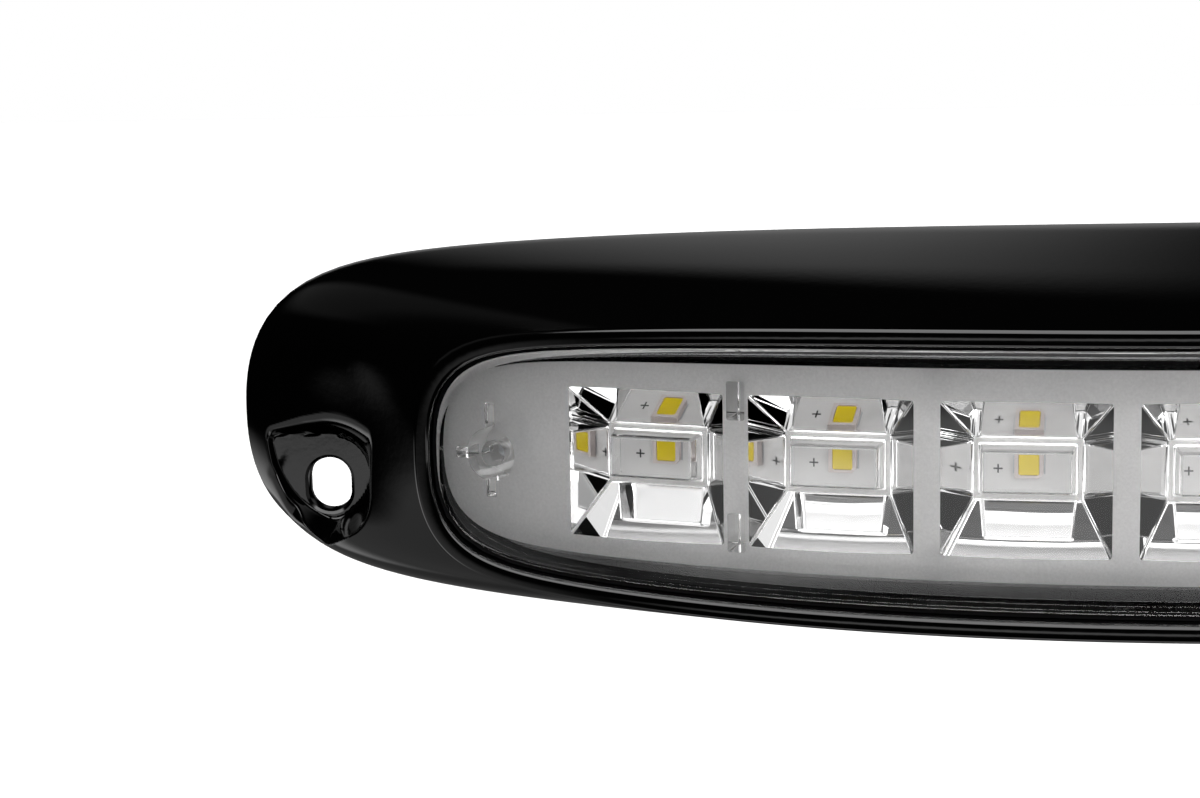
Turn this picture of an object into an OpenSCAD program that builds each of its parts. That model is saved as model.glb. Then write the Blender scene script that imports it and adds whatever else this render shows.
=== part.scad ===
// Surface-mounted scene light: a curved die-cast housing with a one-piece optic lens,
// a bowed LED board on a heat carrier, and a driver behind a screwed back cover.
// Millimetres. X along the lamp, Z up, the mounting face at Y = 0, the light shines to -Y.

/* [Housing] */
// Length of the housing's footprint on the mounting face
base_length = 238.7; // [225:1:260]
// Height of the housing's footprint
base_height = 41.9; // [41:0.1:46]
// Height of the footprint's centre line above the lens's
base_rise = 1.35; // [0.6:0.05:1.6]
// Thickness of the footprint's edge before the flank begins to curve
base_edge = 1; // [0.9:0.1:4]
// Bevel around the mounting face
foot_bevel = 0.8; // [0.4:0.1:1.2]
// How far the long flanks lean in by half their height, as a share of their whole lean
flank_tuck = 0.02; // [0:0.01:0.2]
// The same share at the lamp's two ends, which are softer
end_tuck = 0.4; // [0.2:0.02:0.44]
// Depth from the mounting face to the crest of the lip at mid length
lip_depth = 45.2; // [44:0.5:50]
// Radius of the lip's crest along the lamp
lip_radius = 215.2; // [212:0.5:230]
// Width of the lip around the window
lip_w = 1.95; // [1.6:0.05:2.4]
// Rounding of the lip's two edges
lip_round = 0.5; // [0.2:0.1:0.8]
// Thickness of the ledge that carries the lens
ledge_t = 2.2; // [1.6:0.1:3]

/* [Mounting ears] */
// Distance from an end of the footprint to its screw slot
slot_inset = 10.05; // [9.5:0.05:10.6]
// Width of a screw slot
slot_w = 5; // [4.3:0.1:5.5]
// Height of a screw slot
slot_h = 6.4; // [5.6:0.1:7]
// Drop of the slots below the lens's centre line
slot_drop = 7.4; // [6.5:0.1:8]
// Thickness of an ear under the screw head
ear_t = 3; // [2.5:0.1:4]
// Radius of the clearance for the screw head
head_r = 4.9; // [4.6:0.1:5.3]
// Height of the pocket's round end above the slot
head_rise = 1.3; // [0.5:0.1:1.8]
// Lean of the pocket's upper wall
pocket_lean = 24; // [15:1:26]
// Draft of the pocket's other walls
pocket_draft = 7; // [3:1:8]
// Slope of the pocket's lower wall
pocket_slope = 41; // [35:1:48]
// Width of the rounding along the ear's outer edge
ear_round = 3.2; // [2:0.2:3.4]
// Depth of that rounding
ear_drop = 2.2; // [1.4:0.1:2.4]
// Height of the low rim round the outer edge of an ear
ear_rim = 1.8; // [1:0.1:2.4]

/* [Lens] */
// Length of the lens outline
lens_length = 188.9; // [184:0.2:190]
// Height of the lens outline
lens_height = 27.7; // [26.8:0.1:28]
// Thickness of the lens plate
lens_t = 3; // [2.5:0.1:3.5]
// Depth of the lens face below the lip
lens_recess = 1.2; // [0.6:0.1:1.6]
// Gap between the lens edge and the lip
lens_gap = 0.6; // [0.4:0.1:0.8]
// Length of the frosted field
frost_length = 186.2; // [182:0.2:186.6]
// Height of the frosted field
frost_height = 22.7; // [21.5:0.1:23.5]
// Height of the frosted field above the lens's centre line
frost_rise = 0.35; // [0.2:0.05:0.5]
// Thickness of the seal under the lens edge
seal_t = 0.4; // [0.3:0.1:0.6]

/* [Optics] */
// Number of LEDs and optics
led_count = 8; // [4:2:8]
// Distance between optics along the lens face
pitch = 20.8; // [19.5:0.1:21.1]
// Width of an optic where it leaves the plate
optic_w = 17.9; // [16:0.1:18.2]
// Height of an optic where it leaves the plate
optic_h = 16.7; // [15:0.1:17.5]
// Height of the LEDs and rims above the optics' centre line
led_lift = 0.5; // [0:0.1:1]
// Height of an optic behind the plate
optic_t = 6.75; // [6:0.05:7]
// Width of the optic's rear rim
rim_w = 11.2; // [10.8:0.1:12]
// Height of the optic's rear rim
rim_h = 6.4; // [6:0.1:7]
// Thickness of the rear rim's wall
rim_wall = 0.55; // [0.4:0.05:0.8]
// Depth of the LED pocket in the optic
pocket_t = 4.4; // [3.5:0.1:5]
// Taper of the pocket on each side
pocket_taper = 0.4; // [0.2:0.05:0.6]

/* [Lens posts] */
// Distance from the lamp's middle to a locating boss, along the lens face
boss_s = 91.7; // [90:0.1:92.2]
// Outer radius of a locating boss
boss_r = 2.5; // [2.2:0.1:2.7]
// Radius of the screw hole in a boss
boss_hole_r = 0.9; // [0.7:0.1:1.1]
// Thickness of a boss rib
rib_t = 1.2; // [0.8:0.1:1.4]
// Width of a spacer leg
leg_w = 2; // [1.5:0.1:2.4]
// Height of a spacer leg
leg_h = 4.2; // [3:0.1:4.6]
// Distance from the optic row's centre line to the near end of a leg
leg_z = 5.1; // [4.8:0.1:5.4]

/* [LED board] */
// Side of an LED package
led_w = 3; // [2.8:0.1:3.5]
// Thickness of an LED package
led_t = 0.7; // [0.5:0.1:0.8]
// Gap between an LED and its optic's rim
led_gap = 0.25; // [0.2:0.05:0.5]
// Width of the luminous window in an LED
glow_w = 2; // [1.6:0.1:2.3]
// Depth of the luminous window
glow_t = 0.35; // [0.2:0.05:0.45]
// Thickness of the LED board
board_t = 1.2; // [1:0.1:1.6]
// Thickness of the thermal pad
pad_t = 0.5; // [0.3:0.1:1]
// Clearance between the board and the housing
board_gap = 0.5; // [0.3:0.1:0.8]

/* [Heat carrier] */
// Thickness of the heat carrier's plate
carrier_t = 3; // [2.5:0.1:3.2]
// Clearance between the carrier and the housing
carrier_gap = 0.3; // [0.2:0.1:0.5]
// Radius of the carrier's two posts
post_r = 3.5; // [3:0.1:4.5]
// Distance from the lamp's middle to a post
post_x = 56; // [53:0.5:60]

/* [Back cover] */
// Thickness of the back cover
cover_t = 2; // [1.5:0.1:2.5]
// Depth of the cover's face behind the mounting face
cover_sink = 0.2; // [0.1:0.1:0.5]
// Thickness of the cover's seal
cover_seal_t = 0.8; // [0.5:0.1:1.2]
// Clearance around the cover
cover_gap = 0.25; // [0.15:0.05:0.4]
// Height of the four standoffs that carry the driver board
standoff_h = 6; // [4:0.5:8]
// Distance from the lamp's middle to the cable grommet
grommet_x = 42; // [40:0.5:44]
// Radius of the grommet's cable bore
cable_r = 2.75; // [2:0.05:3.5]
// Distance from the lamp's middle to the breather vent
vent_x = 42; // [40:0.5:46]

/* [Driver] */
// Length of the driver board
driver_l = 64; // [56:1:66]
// Height of the driver board
driver_h = 24; // [22:0.5:26]
// Thickness of the driver board
driver_t = 1.6; // [1:0.1:2]

/* [Fasteners] */
// Thread radius of the screws that hold the carrier
carrier_screw_r = 1.1; // [1:0.1:1.3]
// Thread radius of the screws that hold the cover
cover_screw_r = 1.25; // [1:0.05:1.5]
// Running clearance of a screw in the piece that it clamps
screw_gap = 0.2; // [0.1:0.05:0.3]

/* [Hidden] */

// Arc surfaces share one vertical axis; a radius counts from it towards the front
axis_y = lip_radius - lip_depth;
lens_r = lip_radius - lens_recess;
plate_r = lens_r - lens_t;
seat_r = plate_r - seal_t;
ledge_r = seat_r - ledge_t;
rim_r = plate_r - optic_t;
led_r = rim_r - led_gap;
board_r = led_r - led_t;
pad_r = board_r - board_t;
carrier_r = pad_r - pad_t;
carrier_back_r = carrier_r - carrier_t;
seat_slack = 0.15;

// Outlines are ovals: half length, half height, centre height, end exponent, side exponent, bow
window_bow = 0.2;
frost_bow = 0.12;
function window(grow) = [lens_length / 2 + grow, lens_height / 2 + grow, 0, 24, 2.5, window_bow];
frost = [frost_length / 2, frost_height / 2, frost_rise, 24, 2.5, frost_bow];
chamber = [frost[0] + 0.4, frost[1] + 1.2, frost_rise, 24, 2.5, frost_bow];
carrier_seat = [chamber[0] + 2, chamber[1] + 2.9, frost_rise + 0.2, 16, 2.5, frost_bow];
cover_hole = [carrier_seat[0], base_height / 2 - 3.5, base_rise, 12, 2.8, 0.1];
cover_rim = [cover_hole[0] + 6.2, cover_hole[1] + 1.6, base_rise, 12, 2.8, 0.1];
footprint = [base_length / 2, base_height / 2, base_rise, 18, 2.3, 0.19];
steps = 72;
big_fn = 360;
small_fn = 32;

ear_x = base_length / 2 - slot_inset;
cover_seat_y = cover_sink + cover_t + cover_seal_t;
cover_inner_y = cover_sink + cover_t;
driver_y = cover_inner_y + standoff_h;
driver_z = base_rise;
cover_screws_at = [for (x = [-1, 1], z = [-1, 1]) [x * (cover_hole[0] + 3.1), base_rise + z * 6.5]];
carrier_screws_at = [for (x = [-1, 0, 1], z = [-1, 1])
    [x * 65, carrier_seat[2] + z * (carrier_seat[1] - 1.75 - abs(x) * 0.5)]];
standoffs_at = [for (x = [-1, 1], z = [-1, 1]) [x * (driver_l / 2 - 3), driver_z + z * (driver_h / 2 - 3)]];
pins_at = [for (z = [-1, 1]) [pitch, z * 9.4]];

function side(t) = sin(t) >= 0 ? 1 : -1;
function oval_point(o, t) = let (q = cos(t))
    [o[0] * q,
     o[2] + side(t) * o[1] * (1 - o[5] * pow(q, 4)) * pow(max(0, 1 - pow(abs(q), o[3])), 1 / o[4])];
function oval(o) = [for (i = [0:steps - 1]) oval_point(o, 360 * i / steps)];
function grown(o, g) = [o[0] + g, o[1] + g, o[2], o[3], o[4], o[5]];
function arc_y(x, r) = axis_y - sqrt(r * r - x * x);
function bend(a, b, c, v) = a * (1 - v) * (1 - v) + 2 * b * v * (1 - v) + c * v * v;

// A row of the housing's section, either flat at one depth or on an arc surface
function flat_row(o, depth) = [for (p = oval(o)) [p[0], -depth, p[1]]];
function arc_row(o, r) = [for (p = oval(o)) [p[0], arc_y(p[0], r), p[1]]];
function skin_row(v) = [for (i = [0:steps - 1]) let (
    t = 360 * i / steps,
    foot = oval_point(footprint, t),
    crest = oval_point(window(lens_gap + lip_w), t),
    foot3 = [foot[0], -base_edge, foot[1]],
    crest3 = [crest[0], arc_y(crest[0], lip_radius) + lip_round, crest[1]],
    soft = pow(abs(cos(t)), 28),
    tuck = flank_tuck + (end_tuck - flank_tuck) * soft,
    knee = [foot[0] + (crest[0] - foot[0]) * tuck, foot3[1] + (crest3[1] - foot3[1]) * (0.5 - 0.05 * soft),
            foot[1] + (crest[1] - foot[1]) * tuck])
    bend(foot3, knee, crest3, v)];

// Closed shell through rings of equal count; the last ring joins the first
module shell(rows) {
    n = len(rows);
    points = [for (r = rows) for (p = r) p];
    faces = [for (k = [0:n - 1], i = [0:steps - 1]) let (
        a = k * steps + i,
        b = k * steps + (i + 1) % steps,
        c = ((k + 1) % n) * steps + (i + 1) % steps,
        d = ((k + 1) % n) * steps + i)
        each [[a, b, c], [a, c, d]]];
    polyhedron(points, faces, convexity = 8);
}
module prism(points, from, to) {
    translate([0, -from, 0]) rotate([90, 0, 0]) linear_extrude(to - from) polygon(points);
}
module rod(r, from, to) {
    translate([0, -from, 0]) rotate([90, 0, 0]) cylinder(r = r, h = to - from, $fn = small_fn);
}
module cone(r1, r2, from, to) {
    translate([0, -from, 0]) rotate([90, 0, 0]) cylinder(r1 = r1, r2 = r2, h = to - from, $fn = small_fn);
}
module at(p) translate([p[0], 0, p[1]]) children();
// Places a piece at a distance along the lens face; its own -Y then points out of the face
module on_arc(s, r) {
    translate([0, axis_y, 0]) rotate([0, 0, s / lens_r * 180 / PI]) translate([0, -r, 0]) children();
}
module arc_plate(o, r_out, r_in) {
    intersection() {
        prism(oval(o), 0, lip_depth + 5);
        translate([0, axis_y, -base_height]) difference() {
            cylinder(r = r_out, h = 2 * base_height, $fn = big_fn);
            translate([0, 0, -1]) cylinder(r = r_in, h = 2 * base_height + 2, $fn = big_fn);
        }
    }
}
module block(w, t, h) translate([-w / 2, -t, -h / 2]) cube([w, t, h]);
function led_s(i) = (i - (led_count + 1) / 2) * pitch;

// Housing
module screw_slot() {
    for (z = [-1, 1]) translate([0, 0, z * (slot_h - slot_w) / 2]) rod(slot_w / 2, -1, ear_t + 1);
    translate([-slot_w / 2, -ear_t - 1, -(slot_h - slot_w) / 2]) cube([slot_w, ear_t + 2, slot_h - slot_w]);
}
// A wedge that opens towards the end of the lamp: level at the top, sloping below
module ear_pocket() {
    rise = 24;
    r2 = head_r + rise * tan(pocket_draft);
    lift = head_r + rise * tan(pocket_lean) - r2;
    run = 3.2 * head_r;
    hull() for (d = [[0, 0], [-run, 0], [-run * cos(pocket_slope), -run * sin(pocket_slope)]]) at(d) {
        rod(head_r, ear_t, ear_t + 0.01);
        for (z = [0, lift]) at([0, z]) rod(r2, ear_t + rise, ear_t + rise + 0.01);
    }
}
// The corner that is rounded off between an ear's low rim and its outer edge
module ear_edge() intersection() {
    hull() for (d = [[0, 0], [-2.4 * head_r, 0], [-2 * head_r, -2 * head_r]])
        at([-ear_x + d[0], head_rise - slot_drop + d[1]]) rod(head_r, 0.2, ear_t + 0.5);
    shell([
        flat_row(grown(footprint, 3), ear_t - ear_drop),
        for (a = [0:18:90]) flat_row(grown(footprint, 0.02 - ear_round * (1 - cos(a))),
                                     ear_t - ear_drop * (1 - sin(a))),
        flat_row(grown(footprint, 3), ear_t + 0.2)
    ]);
}
module housing() color("#0b0b0c") difference() {
    shell([
        flat_row(grown(footprint, -foot_bevel), 0),
        flat_row(footprint, foot_bevel),
        for (v = [0:0.125:1]) skin_row(v),
        arc_row(window(lens_gap + lip_w - lip_round * 0.3), lip_radius - lip_round * 0.3),
        arc_row(window(lens_gap + lip_w - lip_round), lip_radius),
        arc_row(window(lens_gap + lip_round), lip_radius),
        arc_row(window(lens_gap), lip_radius - lip_round),
        arc_row(window(lens_gap), seat_r),
        arc_row(frost, seat_r),
        arc_row(frost, ledge_r),
        arc_row(chamber, ledge_r - 1.2),
        arc_row(chamber, carrier_r + seat_slack),
        arc_row(carrier_seat, carrier_r + seat_slack),
        flat_row(cover_hole, cover_seat_y),
        flat_row(cover_rim, cover_seat_y),
        flat_row(cover_rim, 0)
    ]);
    for (m = [0, 1]) mirror([m, 0, 0]) {
        at([-ear_x, -slot_drop]) screw_slot();
        at([-ear_x, head_rise - slot_drop]) translate([0, -ear_rim, 0]) ear_pocket();
        intersection() {
            at([-ear_x, head_rise - slot_drop]) ear_pocket();
            prism(oval(grown(footprint, -ear_round)), 0, lip_depth);
        }
        translate([0, -ear_rim, 0]) ear_edge();
    }
    for (p = cover_screws_at) at(p) rod(cover_screw_r, cover_seat_y - 1, cover_seat_y + 6);
    for (p = carrier_screws_at) at(p) rod(carrier_screw_r, -arc_y(p[0], carrier_r) - 1, -arc_y(p[0], carrier_r) + 4);
}

// Lens
module optic() {
    flare_w = (optic_w - rim_w) / 2 / optic_t;
    up = (optic_h - rim_h) / 2 - led_lift;
    down = (optic_h - rim_h) / 2 + led_lift;
    root = 0.5;
    k = (optic_t + root) / optic_t;
    xs = rim_w / 2 + flare_w * optic_t * k;
    difference() {
        polyhedron([
            [-rim_w / 2, 0, -rim_h / 2], [rim_w / 2, 0, -rim_h / 2], [rim_w / 2, 0, rim_h / 2], [-rim_w / 2, 0, rim_h / 2],
            [-xs, -optic_t - root, -rim_h / 2 - down * k], [xs, -optic_t - root, -rim_h / 2 - down * k],
            [xs, -optic_t - root, rim_h / 2 + up * k], [-xs, -optic_t - root, rim_h / 2 + up * k]],
            [[0, 1, 2, 3], [4, 7, 6, 5], [0, 4, 5, 1], [1, 5, 6, 2], [2, 6, 7, 3], [3, 7, 4, 0]]);
        mouth = [rim_w / 2 - rim_wall, rim_h / 2 - rim_wall];
        roof = mouth - [pocket_taper, pocket_taper];
        polyhedron([
            [-mouth[0], 1, -mouth[1]], [mouth[0], 1, -mouth[1]], [mouth[0], 1, mouth[1]], [-mouth[0], 1, mouth[1]],
            [-roof[0], -pocket_t, -roof[1]], [roof[0], -pocket_t, -roof[1]],
            [roof[0], -pocket_t, roof[1]], [-roof[0], -pocket_t, roof[1]]],
            [[0, 1, 2, 3], [4, 7, 6, 5], [0, 4, 5, 1], [1, 5, 6, 2], [2, 6, 7, 3], [3, 7, 4, 0]]);
    }
}
module locating_boss() {
    reach = plate_r - board_r - 0.1;
    difference() {
        union() {
            rod(boss_r, 0, reach + 0.5);
            translate([-rib_t / 2, -reach - 0.5, 0]) cube([rib_t, reach * 0.6, boss_r + 2.8]);
            translate([-rib_t / 2, -reach - 0.5, -boss_r - 2.2]) cube([rib_t, reach * 0.6, boss_r + 2.2]);
            translate([-boss_r - 1.2, -reach - 0.5, -rib_t / 2]) cube([boss_r + 1.2, reach * 0.6, rib_t]);
        }
        rod(boss_hole_r, -1, reach - 1);
    }
}
module lens() color("#dfe6ea", 0.55) {
    leg_s = (led_count / 2 - 1) * pitch;
    reach = plate_r - board_r - 0.1;
    union() {
        arc_plate(window(0), lens_r, plate_r);
        for (i = [1:led_count]) on_arc(led_s(i), rim_r) translate([0, 0, led_lift]) optic();
        for (m = [0, 1]) mirror([m, 0, 0]) {
            on_arc(-boss_s, board_r + 0.1) locating_boss();
            for (z = [-1, 1]) on_arc(-leg_s, board_r + 0.1)
                translate([-leg_w / 2, -reach - 0.5, -leg_h / 2 + z * (leg_z + leg_h / 2) + frost_rise])
                    cube([leg_w, reach + 0.5, leg_h]);
        }
    }
}
module lens_seal() color("#101011") difference() {
    arc_plate(window(lens_gap - 0.1), lens_r - 0.8, seat_r + 0.05);
    arc_plate(window(0.02), lens_r + 1, plate_r - 0.02);
    prism(oval(grown(frost, 0.5)), -1, lip_depth);
}

// LED board and LEDs
module led_board() color("#e9ebea") difference() {
    arc_plate(grown(chamber, -board_gap), board_r, pad_r);
    for (m = [0, 1]) mirror([m, 0, 0]) on_arc(-boss_s, board_r) rod(boss_hole_r + screw_gap, -3, 1);
    for (p = pins_at) on_arc(p[0], board_r) translate([0, 0, p[1]]) rod(0.6, -3, 1);
}
module led_at(i) on_arc(led_s(i), board_r) translate([0, 0, led_lift]) children();
module led_package(i) color("#efe6e2") led_at(i) difference() {
    block(led_w, led_t, led_w);
    translate([0, -led_t + glow_t, 0]) block(glow_w, glow_t + 1, glow_w);
}
module led_phosphor() color("#e6cf2a") for (i = [1:led_count]) led_at(i) translate([0, -led_t + glow_t, 0])
    block(glow_w - 0.02, glow_t - 0.02, glow_w - 0.02);
module board_resistors() color("#2b2d30") for (s = [-2, 0, 2]) for (z = [-1, 1]) on_arc(s * pitch, board_r)
    translate([0, 0, z * 9.6]) block(2, 0.5, 1.25);
module thermal_pad() color("#9aa3ab") difference() {
    arc_plate(grown(chamber, -board_gap - 1.5), pad_r - 0.01, carrier_r + 0.01);
    for (m = [0, 1]) mirror([m, 0, 0]) on_arc(-boss_s, board_r) rod(boss_hole_r + screw_gap, -4, 1);
    for (p = pins_at) on_arc(p[0], board_r) translate([0, 0, p[1]]) rod(1.6, -4, 1);
}

// Heat carrier
module heat_carrier() color("#b9bcbf") difference() {
    union() {
        arc_plate(grown(carrier_seat, -carrier_gap), carrier_r, carrier_back_r);
        for (x = [-post_x, post_x]) at([x, base_rise]) rod(post_r, cover_inner_y + 0.1, -arc_y(x, carrier_r) - carrier_t / 2);
    }
    for (x = [-post_x, post_x]) at([x, base_rise]) rod(cover_screw_r, 0, cover_inner_y + 9);
    for (p = carrier_screws_at) at(p) rod(carrier_screw_r + screw_gap, 3, lip_depth);
    for (m = [0, 1]) mirror([m, 0, 0]) on_arc(-boss_s, board_r) rod(boss_hole_r + screw_gap, -12, 1);
    for (p = pins_at) on_arc(p[0], board_r) translate([0, 0, p[1]]) rod(1.6, -9, 1);
}
module pan_screw(r, head, from, to) {
    rod(r, from, to);
    rod(head, from - 1.4, from);
}
module carrier_screws() color("#c7c9cc") for (p = carrier_screws_at) at(p)
    pan_screw(carrier_screw_r - 0.08, 2, -arc_y(abs(p[0]) + 2, carrier_back_r) - 0.15, -arc_y(p[0], carrier_r) + 3);
module lens_screws() color("#c7c9cc") for (m = [0, 1]) mirror([m, 0, 0]) on_arc(-boss_s, board_r)
    pan_screw(boss_hole_r - 0.08, 1.7, -board_t - pad_t - carrier_t - 0.08, 4);
module link_pins() color("#cfa94a") for (p = pins_at) on_arc(p[0], board_r) translate([0, 0, p[1]])
    rod(0.5, -board_r + driver_pin_r(p), 0.6);
// Radius at which a link pin meets the driver board
function driver_pin_r(p) = let (a = p[0] / lens_r * 180 / PI) (axis_y + driver_y + 0.4) / cos(a);

// Back cover
module back_cover() color("#2a2b2d") difference() {
    union() {
        prism(oval(grown(cover_rim, -cover_gap)), cover_sink, cover_inner_y);
        for (p = standoffs_at) at(p) rod(2.6, cover_inner_y - 0.5, driver_y);
    }
    for (p = concat(cover_screws_at, [[-post_x, base_rise], [post_x, base_rise]])) at(p) {
        rod(cover_screw_r + screw_gap, 0, cover_inner_y + 1);
        cone(cover_screw_r * 2 + 0.1, cover_screw_r + screw_gap, cover_sink - 0.01, cover_sink + 1.2);
    }
    for (p = standoffs_at) at(p) rod(0.9, cover_inner_y, driver_y + 1);
    at([grommet_x, base_rise]) rod(5.5, 0, cover_inner_y + 1);
    at([-vent_x, base_rise]) rod(3.2, 0, cover_inner_y + 1);
}
module cover_seal() color("#17181a") difference() {
    prism(oval(grown(cover_hole, 1.4)), cover_inner_y + 0.02, cover_seat_y - 0.02);
    prism(oval(grown(cover_hole, 0.1)), 0, cover_seat_y + 1);
}
module cover_screws() color("#c7c9cc") {
    for (p = concat(cover_screws_at, [[-post_x, base_rise], [post_x, base_rise]])) at(p) {
        rod(cover_screw_r - 0.08, cover_sink + 1, cover_inner_y + 6);
        cone(cover_screw_r * 2, cover_screw_r, cover_sink + 0.05, cover_sink + 1.2);
    }
}
module cable_grommet() color("#141415") at([grommet_x, base_rise]) difference() {
    union() {
        rod(5.45, cover_sink, cover_inner_y + 0.5);
        rod(6.8, cover_inner_y + 0.02, cover_inner_y + 2);
        cone(6.2, 4.2, cover_inner_y + 2, cover_inner_y + 7);
    }
    rod(cable_r, 0, cover_inner_y + 8);
}
module breather_vent() color("#d9dadb") at([-vent_x, base_rise]) {
    rod(3.15, cover_sink + 0.3, cover_inner_y + 0.5);
    rod(4.4, cover_inner_y + 0.02, cover_inner_y + 1.2);
}

// Driver
module driver_board() color("#1f6a3a") difference() {
    translate([-driver_l / 2, -driver_y - driver_t - 0.02, driver_z - driver_h / 2]) cube([driver_l, driver_t, driver_h]);
    for (p = standoffs_at) at(p) rod(0.9 + screw_gap, 0, driver_y + 5);
    for (p = pins_at) on_arc(p[0], board_r) translate([0, 0, p[1]]) rod(0.6, -board_r + driver_pin_r(p) - 3, 0);
}
module driver_part(x, z) translate([x, -driver_y - driver_t - 0.04, driver_z + z]) children();
module driver_screws() color("#c7c9cc") for (p = standoffs_at) at(p) {
    rod(0.87, driver_y - 4, driver_y + driver_t + 0.1);
    rod(1.7, driver_y + driver_t + 0.1, driver_y + driver_t + 1.3);
}
module driver_coil() color("#3a3a3c") driver_part(18 - driver_l / 2, 0) difference() {
    rod(6, 0, 6);
    rod(2.4, 4.5, 7);
}
module driver_chip() color("#222326") driver_part(-1, -4) block(5, 1.6, 6);
module driver_diode() color("#222326") driver_part(-1, 6) block(4.4, 2.2, 3.6);
module driver_capacitors() color("#8f949a") for (z = [-4.6, 4.6]) driver_part(9.5, z) rod(3.9, 0, 9);
module driver_terminal() color("#2f8f4e") driver_part(driver_l / 2 - 5.5, 0) difference() {
    block(7, 8, 10);
    for (z = [-2.5, 2.5]) translate([-1, -5, z]) rotate([0, 90, 0]) cylinder(r = 1.3, h = 6, $fn = small_fn);
}

housing();
lens();
lens_seal();
led_board();
for (i = [1:led_count]) led_package(i);
led_phosphor();
board_resistors();
thermal_pad();
heat_carrier();
carrier_screws();
lens_screws();
link_pins();
back_cover();
cover_seal();
cover_screws();
cable_grommet();
breather_vent();
driver_board();
driver_screws();
driver_coil();
driver_chip();
driver_diode();
driver_capacitors();
driver_terminal();
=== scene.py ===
import math
from collections import namedtuple

import bmesh
import bpy
import numpy as np
from mathutils import Matrix


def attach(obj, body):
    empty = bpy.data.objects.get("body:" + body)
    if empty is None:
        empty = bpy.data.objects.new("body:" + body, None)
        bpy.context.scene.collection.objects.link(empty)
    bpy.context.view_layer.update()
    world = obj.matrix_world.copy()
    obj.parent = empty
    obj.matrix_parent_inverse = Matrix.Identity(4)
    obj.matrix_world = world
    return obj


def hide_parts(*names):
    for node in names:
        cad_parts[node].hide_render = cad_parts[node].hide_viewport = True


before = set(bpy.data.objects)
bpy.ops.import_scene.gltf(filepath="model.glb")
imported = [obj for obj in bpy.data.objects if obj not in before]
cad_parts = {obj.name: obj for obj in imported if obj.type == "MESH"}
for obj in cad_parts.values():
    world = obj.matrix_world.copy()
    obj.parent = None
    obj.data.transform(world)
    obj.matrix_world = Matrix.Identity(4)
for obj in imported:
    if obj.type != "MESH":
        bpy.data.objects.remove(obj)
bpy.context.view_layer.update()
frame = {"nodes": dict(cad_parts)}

# Housing. A shallow die-cast aluminium shell whose front bows along the lamp, in gloss black
# paint with a faint orange peel. Two scooped ears at its ends take the mounting screws, and a
# raised lip frames the lens. Sizes here and below are in millimetres.
mm = 0.001
scene = bpy.context.scene
# An oval's powers square off its ends and shoulders, and its taper lowers it towards the ends
Oval = namedtuple("Oval", "half_length half_height middle end_power shoulder_power taper")
FOOTPRINT = Oval(119.35, 20.95, 1.35, 18, 2.3, 0.19)
WINDOW = Oval(94.45, 13.85, 0.0, 24, 2.5, 0.2)
FROST = Oval(93.1, 11.35, 0.35, 24, 2.5, 0.12)
CHAMBER = Oval(93.5, 12.55, 0.35, 24, 2.5, 0.12)
SEAT = Oval(95.5, 15.45, 0.55, 16, 2.5, 0.12)
COVER_HOLE = Oval(95.5, 17.5, 1.35, 12, 2.8, 0.1)
COVER_RIM = Oval(101.7, 19.1, 1.35, 12, 2.8, 0.1)
# Radii are about the bow's axis, and depths are in front of the mounting face
LIP_R, LIP_DEPTH, LIP_W, LIP_ROUND = 215.2, 45.2, 1.95, 0.5
AXIS_Y = LIP_R - LIP_DEPTH
LENS_GAP, LENS_SINK, PLATE_T, SEAL_T = 0.6, 1.2, 3, 0.4
LEDGE_T, CHAMBER_DROP = 2.2, 3.4
CARRIER_R, CARRIER_GAP, COVER_T = 201.61, 0.15, 3.0
FOOT_ROUND, FLANK_START = 0.8, 1.0
# The flank's fullness: how far its bend lies towards the lip, and how high, with the change at the ends
END_POWER, TUCK, END_TUCK, CROWN, END_CROWN = 28, 0.02, 0.38, 0.5, 0.05
# The ear: floor, rolled outer rim, round end of the pocket, and the angles of its walls and lower edge
EAR_X, EAR_T, EAR_ROUND, EAR_DROP, EAR_RIM = 109.3, 3.0, 3.2, 3.7, 1.8
HEAD_R, HEAD_Z, SLOT_Z, SLOT_W, SLOT_H = 4.9, -6.1, -7.4, 5.0, 6.4
LEAN, DRAFT, SLOPE = math.radians(24), math.radians(7), math.radians(41)
# The outer rim swells towards the pocket's end, then steeply past it and in from the rim
RIM_SWELL, RIM_RUNOUT, FLANK_RUNOUT, FENCE_SLOPE = 5.5, 4, 6, 0.3
FENCE_BLEND, FLOOR_BLEND, CORNER_BLEND, CREST_BLEND = 1.4, 1.1, 0.6, 0.8
SHOULDER_LOW, SHOULDER_RISE, SHOULDER_Z = 0.6, 3.8, 9
EAR_REACH_X, EAR_REACH_Z, EAR_REACH_DEPTH = 98, 14, 0.5


def oval(o, t):
    """Points of an oval at the angles t; its height falls off towards its ends by its taper."""
    q = np.cos(t)
    rise = np.where(np.sin(t) >= 0, 1, -1) * o.half_height * (1 - o.taper * q**4)
    arch = np.maximum(0, 1 - np.abs(q) ** o.end_power) ** (1 / o.shoulder_power)
    return o.half_length * q, o.middle + rise * arch


def grown(o, g):
    return o._replace(half_length=o.half_length + g, half_height=o.half_height + g)


def arc_y(x, r):
    return AXIS_Y - np.sqrt(r * r - x * x)


def flat_row(o, t, depth):
    x, z = oval(o, t)
    return np.stack([x, x * 0 - depth, z], -1)


def arc_row(o, t, r):
    x, z = oval(o, t)
    return np.stack([x, arc_y(x, r), z], -1)


def to_mesh(name, verts, faces):
    me = bpy.data.meshes.new(name)
    me.from_pydata([tuple(v) for v in np.asarray(verts, float) * mm], [], [tuple(f) for f in faces])
    me.update()
    return me


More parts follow.
